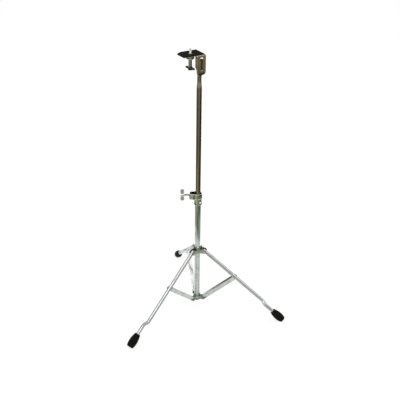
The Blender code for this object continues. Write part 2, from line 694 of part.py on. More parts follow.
def swept_wall(path, radius):
    """An open round wall along a path of (y, z) points."""
    bm = bmesh.new()
    loops = []
    for index, (side, height) in enumerate(path):
        before = path[max(index - 1, 0)]
        after = path[min(index + 1, len(path) - 1)]
        lean = math.atan2(after[0] - before[0], before[1] - after[1])
        place = shift(0, side, height) @ Matrix.Rotation(lean, 4, "X")
        made = bmesh.ops.create_circle(bm, segments=TUBE_SIDES, radius=radius, matrix=place)
        loops.append(list({edge for vert in made["verts"] for edge in vert.link_edges}))
    for first, second in zip(loops, loops[1:]):
        bmesh.ops.bridge_loops(bm, edges=first + second)
    bmesh.ops.recalc_face_normals(bm, faces=bm.faces)
    return bm


def leg():
    """A leg tube with a sideways joggle above the foot, drawn about the brace rivet."""
    bm = swept_wall(leg_path(), LEG_TUBE_OD / 2)
    bmesh.ops.solidify(bm, geom=bm.faces[:], thickness=LEG_TUBE_WALL)
    bm = tidy_mesh(bm)
    bm = cut(bm, cross_hole(RIVET_DIAMETER / 2 + FIT, 0, 0, LEG_TUBE_OD))
    return cut(bm, cross_hole(LEG_BUSH_DIAMETER / 2 + FIT, 0, LEG_UPPER_LENGTH, LEG_TUBE_OD))


def leg_bush():
    """The pressed bush across the top of a leg, in which its upper rivet turns."""
    half = LEG_TUBE_OD / 2
    return moved(ring(LEG_BUSH_DIAMETER / 2, RIVET_DIAMETER / 2, -half, half, SMALL_SIDES),
                 shift(0, 0, LEG_UPPER_LENGTH) @ rotation(90, "X"))


def foot_side():
    """The barrel-shaped side of a foot, as (radius, depth below its top) points."""
    top = FOOT_TOP_DIAMETER / 2
    wide = FOOT_WIDEST_DIAMETER / 2
    end = FOOT_END_DIAMETER / 2
    quarter = [math.radians(angle) for angle in (0, 30, 60, 90)]
    flare = [(top + (wide - top) * math.sin(a), FOOT_EDGE + (FOOT_WIDEST_DOWN - FOOT_EDGE) * a / quarter[-1])
             for a in quarter]
    below = FOOT_LENGTH - FOOT_EDGE - FOOT_WIDEST_DOWN
    taper = [(end + (wide - end) * math.cos(a), FOOT_WIDEST_DOWN + below * a / quarter[-1])
             for a in quarter[1:]]
    return [(top - FOOT_EDGE, 0)] + flare + taper + [(end - FOOT_EDGE, FOOT_LENGTH), (0, FOOT_LENGTH)]


def foot():
    """A rubber foot, turned about the lower leg and worn flat where it meets the floor."""
    bore = LEG_TUBE_OD / 2 + FIT
    hollow = [(0, FOOT_BORE_DEPTH), (bore, FOOT_BORE_DEPTH), (bore, 0)]
    profile = [(radius, -FOOT_TOP - depth) for radius, depth in hollow + foot_side()]
    bm = moved(turned(profile, MEDIUM_SIDES), shift(0, -JOGGLE_OFFSET, 0))
    lean = math.radians(LEG_ANGLE)
    floor_point = Vector((0, 0, -FLOOR_ALONG_LEG))
    upward = Vector((math.sin(lean), 0, math.cos(lean)))
    bmesh.ops.bisect_plane(bm, geom=bm.verts[:] + bm.edges[:] + bm.faces[:],
                           plane_co=floor_point, plane_no=upward, clear_inner=True)
    bmesh.ops.holes_fill(bm, edges=[edge for edge in bm.edges if edge.is_boundary])
    return bm


# Head


def side_prism(outline, left, right):
    """An outline of (y, z) points, extruded along X."""
    turn = Matrix(((0, 0, 1, 0), (1, 0, 0, 0), (0, 1, 0, 0), (0, 0, 0, 1)))
    return moved(prism(outline, left, right), turn)


def plate_outline(inset, right_inset, corner):
    """The plate's outline: three round corners, and a clipped one at the back left."""
    left = PLATE_RIGHT_EDGE - PLATE_LENGTH + inset
    right = PLATE_RIGHT_EDGE - right_inset
    low = FACE_FRONT + BEND_RADIUS + inset / 2
    high = FACE_FRONT + PLATE_DEPTH - inset
    return (arc((right - corner, high - corner), corner, 0, 90, 4)
            + [(left + PLATE_CLIP_LENGTH, high), (left, high - PLATE_CLIP_DEPTH)]
            + arc((left + corner, low + corner), corner, 180, 270, 4)
            + arc((right - corner, low + corner), corner, 270, 360, 4))


def bent_strip():
    """The bend from the plate down to the face, and the middle of the face."""
    front = FACE_FRONT
    axis = (front + BEND_RADIUS, PLATE_TOP - BEND_RADIUS)
    lap = BEND_RADIUS + SHEET
    outline = ([(front + lap, PLATE_TOP)] + arc(axis, BEND_RADIUS, 90, 180, 5)
               + [(front, PLATE_TOP - 3 * lap), (front + SHEET, PLATE_TOP - 3 * lap)]
               + arc(axis, BEND_RADIUS - SHEET, 180, 90, 5) + [(front + lap, PLATE_BOTTOM)])
    half = FACE_WIDTH / 2 - BEND_RADIUS
    return side_prism(outline, -half, half)


def face_channel():
    """The face with its two side walls, as one upright channel with a rounded lower end."""
    half = FACE_WIDTH / 2
    front = FACE_FRONT
    back = front + WALL_DEPTH
    corner = BEND_RADIUS
    inner = BEND_RADIUS - SHEET
    outline = ([(-half, back)] + arc((corner - half, front + corner), corner, 180, 270, 5)
               + arc((half - corner, front + corner), corner, 270, 360, 5) + [(half, back)]
               + [(half - SHEET, back)] + arc((half - corner, front + corner), inner, 360, 270, 5)
               + arc((corner - half, front + corner), inner, 270, 180, 5) + [(SHEET - half, back)])
    top = PLATE_BOTTOM - WALL_RELIEF
    bm = prism(outline, FACE_BOTTOM, top)
    margin = half + FIT
    lower_end = (arc((margin - FACE_CORNER, FACE_BOTTOM + FACE_CORNER), FACE_CORNER, 270, 360)
                 + [(margin, top + corner), (-margin, top + corner)]
                 + arc((FACE_CORNER - margin, FACE_BOTTOM + FACE_CORNER), FACE_CORNER, 180, 270))
    bm = combined(bm, upright_prism(lower_end, front - corner, back + corner), "INTERSECT")
    rise = (WALL_BACK_HEIGHT - WALL_FRONT_HEIGHT) / (WALL_DEPTH - corner)
    slant = [(front + corner, FACE_BOTTOM - corner), (back + corner, FACE_BOTTOM - corner),
             (back + corner, WALL_BACK_HEIGHT + rise * corner), (front + corner, WALL_FRONT_HEIGHT)]
    return cut(bm, side_prism(slant, -FACE_WIDTH, FACE_WIDTH))


def head_bracket():
    """The pressed bracket: plate, bend, slotted face and side walls in one piece."""
    plate = prism(plate_outline(0, 0, PLATE_CORNER), PLATE_BOTTOM, PLATE_TOP)
    bm = joined(plate, bent_strip())
    bm = joined(bm, face_channel())
    radius = PIVOT_BOLT_DIAMETER / 2 + SLOT_CLEARANCE
    slot = slot_outline(0, PIVOT_HEIGHT, PIVOT_HEIGHT + SLOT_LENGTH, radius)
    bm = cut(bm, upright_prism(slot, FACE_FRONT - SHEET, FACE_FRONT + 2 * SHEET))
    keyhole = arc((0, PLATE_TOP - KEYHOLE_BELOW_PLATE), KEYHOLE_DIAMETER / 2, 0, 342, 19)
    bm = cut(bm, upright_prism(keyhole, FACE_FRONT - SHEET, FACE_FRONT + 2 * SHEET))
    return cut(bm, pad_screw_hole(PAD_STUD_DIAMETER / 2 + FIT))


def pad_screw_hole(radius):
    """A cutter through the plate and its facing, about the pad screw."""
    hole = rod(radius, PLATE_BOTTOM - SHEET, PLATE_TOP + 3 * SHEET, SMALL_SIDES)
    return moved(hole, shift(PAD_SCREW_X, PAD_SCREW_Y, 0))


def plate_rubber():
    """The rubber facing on the plate, under the pad, with a hole for the thin nut."""
    low = PLATE_TOP + FIT
    bm = prism(plate_outline(RUBBER_INSET, RUBBER_RIGHT_INSET, RUBBER_CORNER), low, low + RUBBER_THICKNESS)
    return cut(bm, pad_screw_hole(PAD_NUT_WIDTH / math.sqrt(3) + PAD_NUT_CLEARANCE))


def pad_nut():
    """The thin nut that keeps the pad screw in the plate, sunk in the facing, drawn about the screw."""
    low = PLATE_TOP + FIT
    nut = hexagon(PAD_NUT_WIDTH, low, low + PAD_NUT_HEIGHT)
    return cut(nut, rod(PAD_STUD_DIAMETER / 2 + FIT, low - SHEET, low + PAD_NUT_HEIGHT + SHEET, SMALL_SIDES))


def cup_washer():
    """The cupped washer under the plate, drawn about the pad screw."""
    top = PLATE_BOTTOM - FIT
    bottom = top - CUP_HEIGHT
    bore = PAD_STUD_DIAMETER / 2 + FIT
    rim = CUP_DIAMETER / 2
    centre = (rim - CUP_EDGE, bottom + CUP_EDGE)
    return turned([(bore, bottom)] + arc(centre, CUP_EDGE, -90, 0, 3) + [(rim, top), (rim - CUP_WALL, top)]
                  + arc(centre, CUP_EDGE - CUP_WALL, 0, -90, 3) + [(bore, bottom + CUP_WALL)], MEDIUM_SIDES)


def pad_screw():
    """The stud, barrel, hub and wings that turn together and screw up into the pad."""
    stud = PAD_STUD_DIAMETER / 2
    barrel = BARREL_DIAMETER / 2
    hub = PAD_HUB_DIAMETER / 2
    edge = hub - barrel
    top = PLATE_TOP + RUBBER_THICKNESS + PAD_STUD_HEIGHT
    shoulder = PLATE_BOTTOM - CUP_HEIGHT - 2 * FIT
    bottom = shoulder - BARREL_LENGTH
    hub_top = bottom + PAD_HUB_HEIGHT
    bm = turned([(0, bottom), (barrel, bottom), (hub, bottom + edge), (hub, hub_top),
                 (barrel, hub_top + edge), (barrel, shoulder), (stud, shoulder), (stud, top - stud / 4),
                 (stud * 3 / 4, top), (0, top)], SMALL_SIDES)
    waist = PAD_HUB_HEIGHT - 2 * FIT
    outline = wing_outline(PAD_WING_SPAN, PAD_WING_TIP_RADIUS, waist, PAD_WING_OPENING)
    wings = side_prism(outline, -PAD_WING_THICKNESS / 2, PAD_WING_THICKNESS / 2)
    middle = shift(0, 0, bottom + PAD_HUB_HEIGHT / 2)
    return joined(bm, moved(wings, middle @ rotation(PAD_WING_TURN, "Z")))


def pivot_bolt():
    """The tilt bolt, drawn along Y about the pivot."""
    seat = FACE_FRONT - FIT
    end = TONGUE_FRONT + TONGUE_THICKNESS + FIT + PIVOT_NUT_HEIGHT + FIT
    shank = PIVOT_BOLT_DIAMETER / 2
    head = dome(-seat, PIVOT_HEAD_HEIGHT, PIVOT_HEAD_DIAMETER / 2)
    profile = [(0, -end), (shank, -end), (shank, -seat)] + head
    return moved(turned(profile, SMALL_SIDES), rotation(90, "X"))


def pivot_nut():
    """The nut behind the tongue."""
    seat = TONGUE_FRONT + TONGUE_THICKNESS + FIT
    nut = hexagon(PIVOT_NUT_WIDTH, seat, seat + PIVOT_NUT_HEIGHT)
    nut = cut(nut, rod(PIVOT_BOLT_DIAMETER / 2 + FIT, -PIVOT_NUT_WIDTH, PIVOT_NUT_WIDTH, SMALL_SIDES))
    return moved(nut, rotation(-90, "X"))


def friction_washer():
    """The long washer of hard rubber that backs the slot, drawn about the pivot."""
    radius = FRICTION_WASHER_WIDTH / 2
    outline = slot_outline(0, 0, FRICTION_WASHER_TOP - PIVOT_HEIGHT - radius, radius)
    washer = upright_prism(outline, WASHER_FRONT, WASHER_FRONT + FRICTION_WASHER_THICKNESS)
    return cut(washer, cross_hole(PIVOT_BOLT_DIAMETER / 2 + FIT, 0, 0, TONGUE_WIDTH))


def pivot_spacer():
    """The small spacer between the long washer and the tongue."""
    bore = PIVOT_BOLT_DIAMETER / 2 + FIT
    spacer = ring(PIVOT_SPACER_DIAMETER / 2, bore, SPACER_FRONT, TONGUE_FRONT - FIT, SMALL_SIDES)
    return moved(spacer, rotation(-90, "X"))


# Assembly


def build_mast(stand):
    """The fixed lower tube with its collar, and the tube that slides and turns in it."""
    piece("base_tube", base_tube(), "chrome", stand)
    piece("height_collar", height_collar(), "chrome", stand)
    piece("collar_rivet", collar_rivet(), "chrome", stand)
    piece("clamp_shoe", clamp_shoe(), "zinc", stand)
    piece("clamp_nut", clamp_nut(), "zinc", stand)
    screw_axis = frame_empty("clamp_screw_axis", stand, (0, 0, CLAMP_AXIS_HEIGHT), COLLAR_TURN, 90)
    piece("clamp_screw", clamp_screw(), "chrome", screw_axis)
    slide = frame_empty("mast_slide", stand)
    piece("guide_plug", guide_plug(), "nylon", slide)
    swivel = frame_empty("mast_swivel", slide)
    piece("upper_tube", upper_tube(), "aged_nickel", swivel)
    return swivel


def build_head(mast):
    """The tilting bracket and the screw that holds the pad."""
    tilt = frame_empty("tilt_axis", mast, (0, 0, PIVOT_HEIGHT))
    piece("pivot_bolt", pivot_bolt(), "aged_nickel", tilt)
    piece("pivot_nut", pivot_nut(), "zinc", tilt)
    piece("friction_washer", friction_washer(), "black_rubber", tilt)
    piece("pivot_spacer", pivot_spacer(), "zinc", tilt)
    head = frame_empty("head_slide", tilt, (0, 0, -PIVOT_HEIGHT))
    piece("head_bracket", head_bracket(), "aged_nickel", head)
    piece("plate_rubber", plate_rubber(), "black_rubber", head)
    screw_axis = frame_empty("pad_screw_axis", head, (PAD_SCREW_X, PAD_SCREW_Y, 0))
    piece("cup_washer", cup_washer(), "chrome", screw_axis)
    piece("pad_nut", pad_nut(), "chrome", screw_axis)
    piece("pad_screw", pad_screw(), "dark_steel", screw_axis)


def build_castings(stand):
    """The fixed and the sliding casting that carry the legs."""
    piece("lower_spider", lower_spider(), "chrome", stand)
    slide = frame_empty("runner_slide", stand)
    piece("runner", runner(), "chrome", slide)
    for number, azimuth in enumerate(LEG_AZIMUTHS, 1):
        fixed = at_leg(rivet(), azimuth, LOWER_PIVOT_RADIUS, LOWER_PIVOT_HEIGHT)
        piece(f"lower_rivet_{number}", fixed, "zinc", stand)
        for side, letter in ((-1, "a"), (1, "b")):
            end = at_leg(rivet_end(side), azimuth, RUNNER_PIVOT_RADIUS, RUNNER_PIVOT_HEIGHT)
            piece(f"runner_rivet_{number}{letter}", end, "zinc", slide)
    height = RUNNER_BOTTOM + RUNNER_HEIGHT / 2
    screw_axis = frame_empty("runner_screw_axis", slide, (0, 0, height), RUNNER_SCREW_TURN, 90)
    piece("runner_screw", runner_screw(), "chrome", screw_axis)


def build_leg(stand, number, azimuth):
    """One brace with the leg that is riveted to it."""
    turn = math.radians(azimuth)
    place = (LOWER_PIVOT_RADIUS * math.cos(turn), LOWER_PIVOT_RADIUS * math.sin(turn), LOWER_PIVOT_HEIGHT)
    lower = frame_empty(f"brace_{number}_axis", stand, place, azimuth, BRACE_ANGLE)
    piece(f"brace_{number}", brace(), "chrome", lower)
    piece(f"brace_rivet_{number}", moved(rivet(), shift(0, 0, BRACE_LENGTH)), "zinc", lower)
    knee = frame_empty(f"leg_{number}_axis", lower, (0, 0, BRACE_LENGTH), 0, -LEG_ANGLE - BRACE_ANGLE)
    piece(f"leg_{number}", leg(), "chrome", knee)
    piece(f"leg_bush_{number}", leg_bush(), "zinc", knee)
    piece(f"foot_{number}", foot(), "black_rubber", knee)


def centre_on_origin(stand):
    """Moves the stand so that the middle of its box is over the origin."""
    bpy.context.view_layer.update()
    corners = [item.matrix_world @ vert.co for item in bpy.data.objects if item.type == "MESH"
               for vert in item.data.vertices]
    for axis in (0, 1):
        values = [corner[axis] for corner in corners]
        stand.location[axis] = -(min(values) + max(values)) / 2
    bpy.context.view_layer.update()


def main():
    """Builds the stand."""
    clear_scene()
    stand = frame_empty("stand")
    build_castings(stand)
    for number, azimuth in enumerate(LEG_AZIMUTHS, 1):
        build_leg(stand, number, azimuth)
    build_head(build_mast(stand))
    centre_on_origin(stand)


main()
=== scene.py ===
# %% [markdown]
# # Dressing a practice pad stand
# The stand's pieces are already modelled at their real size and packed as a fixed frame.
# This lesson gives them their finish, adds the details that are too fine for the frame,
# and photographs the stand on white, as a shop would.

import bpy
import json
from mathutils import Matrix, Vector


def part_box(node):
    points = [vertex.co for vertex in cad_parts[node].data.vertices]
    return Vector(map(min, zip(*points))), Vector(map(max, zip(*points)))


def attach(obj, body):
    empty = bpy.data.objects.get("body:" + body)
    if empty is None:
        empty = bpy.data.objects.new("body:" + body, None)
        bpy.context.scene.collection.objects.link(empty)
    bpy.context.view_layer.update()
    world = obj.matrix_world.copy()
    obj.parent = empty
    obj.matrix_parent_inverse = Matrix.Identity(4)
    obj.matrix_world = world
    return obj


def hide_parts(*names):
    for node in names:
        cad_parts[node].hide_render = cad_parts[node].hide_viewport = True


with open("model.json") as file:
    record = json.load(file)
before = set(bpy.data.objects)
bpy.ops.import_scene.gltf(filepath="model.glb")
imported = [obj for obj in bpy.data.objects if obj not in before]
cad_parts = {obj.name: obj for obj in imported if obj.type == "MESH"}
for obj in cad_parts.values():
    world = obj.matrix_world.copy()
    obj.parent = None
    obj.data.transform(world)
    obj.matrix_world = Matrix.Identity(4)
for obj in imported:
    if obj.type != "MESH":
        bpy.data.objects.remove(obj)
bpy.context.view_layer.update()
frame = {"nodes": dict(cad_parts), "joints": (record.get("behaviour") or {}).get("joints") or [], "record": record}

# %% The modules that the cells use
import json
import math

import bmesh
import bpy
from mathutils import Matrix, Vector

SCENE = bpy.context.scene
NODES = frame["nodes"]
MATERIAL_SLOT = {part["node"]: part["material_slot"] for part in frame["record"]["subparts"]}
JOINTS = {joint["name"]: joint for joint in frame["joints"]}


# %% [markdown]
# ## The camera
# The photograph looks down at the stand from its front left. Its place was worked out from the feet,
# the leg tops and the known width of the tubes. Directions are first given in a frame whose Y axis
# runs from the camera to the mast, then turned into the stand's own frame.

# %% Place the camera
PHOTO_PIXELS = 400
SENSOR = 36.0
FOCAL_PIXELS = 583.74
CAMERA_PLACE = Vector((-0.80781, -1.45178, 1.41796))
CAMERA_AZIMUTH = math.radians(-31.0)
CAMERA_PITCH = math.radians(30.60)
CAMERA_YAW = math.radians(0.23)
CAMERA_ROLL = math.radians(0.77)


def camera_turn():
    """The camera's rotation as a matrix, from its pitch, yaw and roll."""
    forward = Vector((math.sin(CAMERA_YAW) * math.cos(CAMERA_PITCH),
                      math.cos(CAMERA_YAW) * math.cos(CAMERA_PITCH),
                      -math.sin(CAMERA_PITCH)))
    level = Vector((math.cos(CAMERA_YAW), -math.sin(CAMERA_YAW), 0))
    up = level.cross(forward)
    right = level * math.cos(CAMERA_ROLL) + up * math.sin(CAMERA_ROLL)
    top = -level * math.sin(CAMERA_ROLL) + up * math.cos(CAMERA_ROLL)
    columns = Matrix((right, top, -forward)).transposed()
    return Matrix.Rotation(CAMERA_AZIMUTH, 3, "Z") @ columns


camera_data = bpy.data.cameras.new("camera")
camera_data.sensor_width = SENSOR
camera_data.lens = FOCAL_PIXELS / PHOTO_PIXELS * SENSOR
camera = bpy.data.objects.new("camera", camera_data)
camera.matrix_world = Matrix.Translation(CAMERA_PLACE) @ camera_turn().to_4x4()
SCENE.collection.objects.link(camera)
SCENE.camera = camera
SCENE.view_settings.view_transform = "Standard"
print("Lens:", round(camera_data.lens, 2), "mm")


# %% [markdown]
# ## Shader sums in Python
# A Signal wraps a socket, so that an expression such as 1 - mask adds its own Math node.
# A Finish is a material under construction, whose one method adds any other node.

# %% Wrap sockets and materials
class Signal:
    """A shader socket in a sum. Each operator adds one Math node to its tree."""

    def __init__(self, finish, socket):
        self.finish = finish
        self.socket = socket

    def math(self, operation, first, second=0.0):
        return self.finish.node("ShaderNodeMath", {"operation": operation}, {0: first, 1: second})

    def __add__(self, other):
        return self.math("ADD", self, other)

    def __radd__(self, other):
        return self.math("ADD", other, self)

    def __sub__(self, other):
        return self.math("SUBTRACT", self, other)

    def __rsub__(self, other):
        return self.math("SUBTRACT", other, self)

    def __mul__(self, other):
        return self.math("MULTIPLY", self, other)

    def __rmul__(self, other):
        return self.math("MULTIPLY", other, self)

    def __truediv__(self, other):
        return self.math("DIVIDE", self, other)

    def __rtruediv__(self, other):
        return self.math("DIVIDE", other, self)


class Finish:
    """A node tree under construction, for a material or for the world."""

    def __init__(self, owner):
        self.owner = owner
        owner.use_nodes = True
        self.tree = owner.node_tree

    def feed(self, socket, value):
        """Links a signal to a socket, or sets the socket's own value."""
        if isinstance(value, Signal):
            self.tree.links.new(value.socket, socket)
        else:
            socket.default_value = value

    def node(self, kind, settings=None, inputs=None, output=0):
        """Adds a node with its settings and its sockets' values, and returns one output."""
        made = self.tree.nodes.new(kind)
        for key, value in (settings or {}).items():
            if key == "stops":
                ramp = made.color_ramp.elements
                while len(ramp) < len(value):
                    ramp.new(1.0)
                for element, (place, colour) in zip(ramp, value):
                    element.position = place
                    element.color = colour
            else:
                setattr(made, key, value)
        for key, value in (inputs or {}).items():
            self.feed(made.inputs[key], value)
        return Signal(self, made.outputs[output])

    def shade(self, inputs):
        """Feeds the Principled shader."""
        shader = self.tree.nodes["Principled BSDF"]
        for key, value in inputs.items():
            self.feed(shader.inputs[key], value)

    def place(self, scale=(1.0, 1.0, 1.0)):
        """The object's own coordinates, in metres, stretched by a scale."""
        coordinates = self.node("ShaderNodeTexCoord", output="Object")
        return self.node("ShaderNodeMapping", None, {"Vector": coordinates, "Scale": scale})

    def noise(self, place, scale, detail=3.0, roughness=0.5):
        """Cloudy noise from 0 to 1."""
        return self.node("ShaderNodeTexNoise", None,
                         {"Vector": place, "Scale": scale, "Detail": detail, "Roughness": roughness})

    def band(self, value, low, high, first=0.0, last=1.0):
        """A value that runs from first to last while another runs from low to high."""
        return self.node("ShaderNodeMapRange", {"interpolation_type": "SMOOTHSTEP"},
                         {"Value": value, 1: low, 2: high, 3: first, 4: last})

    def blend(self, factor, first, second):
        """A colour between two others."""
        return self.node("ShaderNodeMix", {"data_type": "RGBA"}, {0: factor, 6: first, 7: second}, 2)

    def bump(self, height, distance, strength=1.0):
        """A bumped normal; the distance is in metres."""
        return self.node("ShaderNodeBump", None,
                         {"Height": height, "Distance": distance, "Strength": strength})


def tone(red, green, blue):
    """A colour with full alpha."""
    return (red, green, blue, 1.0)


# %% [markdown]
# ## The finishes
# Old plated steel is never one colour. Chrome keeps its shine but gathers dull spots and a grey haze,
# nickel goes brown where hands and damp reach it, and rubber turns grey along its edges.
# Each finish is made from noise of two sizes: a broad one for stains, a fine one for pits.

# %% Chrome
def chrome_finish(name, clean, hazy, dirty_below=None, polish=0.09):
    """Bright plate with faint drawing lines, haze and small pits, and grime below a height if given."""
    finish = Finish(bpy.data.materials.new(name))
    place = finish.place()
    haze = finish.band(finish.noise(place, 38.0, 4.0), 0.42, 0.70)
    pits = finish.band(finish.noise(place, 900.0, 2.0), 0.66, 0.74)
    lines = finish.noise(finish.place((900.0, 900.0, 14.0)), 1.0, 2.0)
    colour = finish.blend(pits * 0.7, finish.blend(haze, clean, hazy), tone(0.20, 0.18, 0.14))
    roughness = polish + haze * 0.10 + lines * 0.05 + pits * 0.25
    if dirty_below:
        height = finish.node("ShaderNodeSeparateXYZ", None, {0: place}, 2)
        cloud = finish.noise(place, 160.0, 3.0)
        grime = finish.band(height + cloud * 0.006, dirty_below, dirty_below + 0.010, 1.0, 0.0)
        colour = finish.blend(grime * 0.85, colour, tone(0.060, 0.066, 0.046))
        roughness = roughness + grime * 0.15
    finish.shade({
        "Base Color": colour,
        "Metallic": 1.0 - pits * 0.4,
        "Roughness": roughness,
        "Normal": finish.bump(lines * 0.4 - pits, 0.00002),
    })
    return finish.owner


# %% Castings
def casting_finish(name, dull, bright, grimy, streaked=0.0):
    """Thin plate over a casting: grimy in its hollows, brighter where its skin is worn, and streaked."""
    finish = Finish(bpy.data.materials.new(name))
    place = finish.place()
    skin = finish.band(finish.noise(place, 60.0, 4.0), 0.38, 0.66)
    grime = finish.band(finish.noise(place, 210.0, 4.0, 0.6), 0.52, 0.72)
    grain = finish.noise(place, 1300.0, 2.0)
    streaks = finish.band(finish.noise(finish.place((190.0, 190.0, 14.0)), 1.0, 2.0), 0.48, 0.58)
    clean = finish.blend(streaks * streaked, finish.blend(skin, dull, bright), grimy)
    finish.shade({
        "Base Color": finish.blend(grime * 0.7, clean, grimy),
        "Metallic": 1.0 - grime * 0.3,
        "Roughness": 0.20 + skin * 0.06 + grime * 0.25,
        "Normal": finish.bump(grain * 0.5 - grime, 0.00004),
    })
    return finish.owner


# %% Aged nickel
def nickel_finish():
    """Nickel gone brown, with darker runs down the tube and rusty freckles."""
    finish = Finish(bpy.data.materials.new("browned_nickel"))
    place = finish.place()
    runs = finish.noise(finish.place((70.0, 70.0, 9.0)), 1.0, 5.0, 0.6)
    stain = finish.band(runs, 0.40, 0.68)
    freckles = finish.band(finish.noise(place, 420.0, 3.0), 0.60, 0.70)
    warm = finish.blend(stain, tone(0.39, 0.365, 0.26), tone(0.30, 0.25, 0.16))
    finish.shade({
        "Base Color": finish.blend(freckles * 0.8, warm, tone(0.050, 0.030, 0.015)),
        "Metallic": 1.0 - freckles * 0.3,
        "Roughness": 0.12 + stain * 0.12 + freckles * 0.25,
        "Normal": finish.bump(runs * 0.3 - freckles, 0.00003),
    })
    return finish.owner


# %% Rusty nickel
def bracket_finish():
    """The same brown nickel on the bracket, with rust down its right side and painted shade, almost black, along
    its foot.
    """
    finish = Finish(bpy.data.materials.new("rusty_nickel"))
    place = finish.place()
    across = finish.node("ShaderNodeSeparateXYZ", None, {0: place}, 0)
    height = finish.node("ShaderNodeSeparateXYZ", None, {0: place}, 2)
    cloud = finish.noise(place, 110.0, 4.0, 0.6)
    stain = finish.band(finish.noise(place, 60.0, 4.0, 0.6), 0.38, 0.66)
    freckles = finish.band(finish.noise(place, 420.0, 3.0), 0.60, 0.70)
    rust = finish.band(across + cloud * 0.008, 0.0535, 0.0585)
    # Painted shade: the bracket is darkened almost to black along its foot.
    black = finish.band(height - cloud * 0.006, 0.8690, 0.8730, 1.0, 0.0)
    warm = finish.blend(stain, tone(0.40, 0.365, 0.275), tone(0.36, 0.290, 0.20))
    worn = finish.blend(freckles * 0.7, warm, tone(0.050, 0.030, 0.015))
    rusty = finish.blend(rust * 0.85, worn, tone(0.23, 0.125, 0.045))
    finish.shade({
        "Base Color": finish.blend(black * 0.85, rusty, tone(0.03, 0.024, 0.02)),
        "Metallic": 1.0 - freckles * 0.3 - rust * 0.4,
        "Roughness": 0.13 + stain * 0.12 + freckles * 0.2 + rust * 0.25,
        "Normal": finish.bump(cloud * 0.3 - freckles - rust * cloud, 0.00003),
    })
    return finish.owner


# %% Zinc
def zinc_finish(name, bright, dull, bare=1.0):
    """Zinc with soft mottling, for rivets, nuts, bushes and threads."""
    finish = Finish(bpy.data.materials.new(name))
    place = finish.place()
    mottle = finish.band(finish.noise(place, 260.0, 4.0), 0.35, 0.65)
    grime = finish.band(finish.noise(place, 90.0, 3.0), 0.55, 0.75)
    clean = finish.blend(mottle, bright, dull)
    finish.shade({
        "Base Color": finish.blend(grime * 0.6, clean, tone(0.18, 0.15, 0.11)),
        "Metallic": bare,
        "Roughness": 0.26 + mottle * 0.14 + grime * 0.15,
        "Normal": finish.bump(mottle, 0.00002),
    })
    return finish.owner


# %% Rubber
def rubber_finish():
    """Black rubber with a fine grain, and greyer where it is rubbed."""
    finish = Finish(bpy.data.materials.new("black_rubber"))
    place = finish.place()
    grain = finish.noise(place, 1500.0, 2.0)
    dust = finish.band(finish.noise(place, 55.0, 4.0, 0.6), 0.48, 0.72)
    finish.shade({
        "Base Color": finish.blend(dust, tone(0.0042, 0.0054, 0.0040), tone(0.0085, 0.0095, 0.0078)),
        "Specular IOR Level": 0.05,
        "Metallic": 0.0,
        "Roughness": 0.42 + dust * 0.25 + grain * 0.08,
        "Normal": finish.bump(grain, 0.00004),
    })
    return finish.owner


# %% Blackened steel
def dark_steel_finish():
    """The pad screw's wings: cast, blackened, with a red bloom of rust here and there."""
    finish = Finish(bpy.data.materials.new("blackened_steel"))
    place = finish.place()
    grain = finish.noise(place, 700.0, 3.0)
    bloom = finish.band(finish.noise(place, 75.0, 3.0), 0.46, 0.60)
    finish.shade({
        "Base Color": finish.blend(bloom, tone(0.045, 0.056, 0.058), tone(0.085, 0.050, 0.045)),
        "Metallic": 0.8,
        "Roughness": 0.36 + bloom * 0.12 + grain * 0.06,
        "Normal": finish.bump(grain, 0.00005),
    })
    return finish.owner


# %% Fibre
def fibre_finish():
    """The long washer behind the slot: brown pressed fibre, dull and slightly hairy, kept near black, which is
    partly painted shade in the slot.
    """
    finish = Finish(bpy.data.materials.new("fibre_and_painted_shade"))
    hairs = finish.noise(finish.place((300.0, 300.0, 1500.0)), 1.0, 3.0)
    finish.shade({
        "Base Color": finish.blend(hairs, tone(0.020, 0.017, 0.010), tone(0.034, 0.030, 0.019)),
        "Specular IOR Level": 0.2,
        "Roughness": 0.6 + hairs * 0.2,
        "Normal": finish.bump(hairs, 0.00004),
    })
    return finish.owner


# %% Nylon
def nylon_finish():
    """Off-white nylon, slightly cloudy."""
    finish = Finish(bpy.data.materials.new("cloudy_nylon"))
    cloud = finish.noise(finish.place(), 180.0, 3.0)
    finish.shade({
        "Base Color": finish.blend(cloud, tone(0.62, 0.61, 0.55), tone(0.50, 0.49, 0.43)),
        "Roughness": 0.45 + cloud * 0.1,
        "Normal": finish.bump(cloud, 0.00003),
    })
    return finish.owner


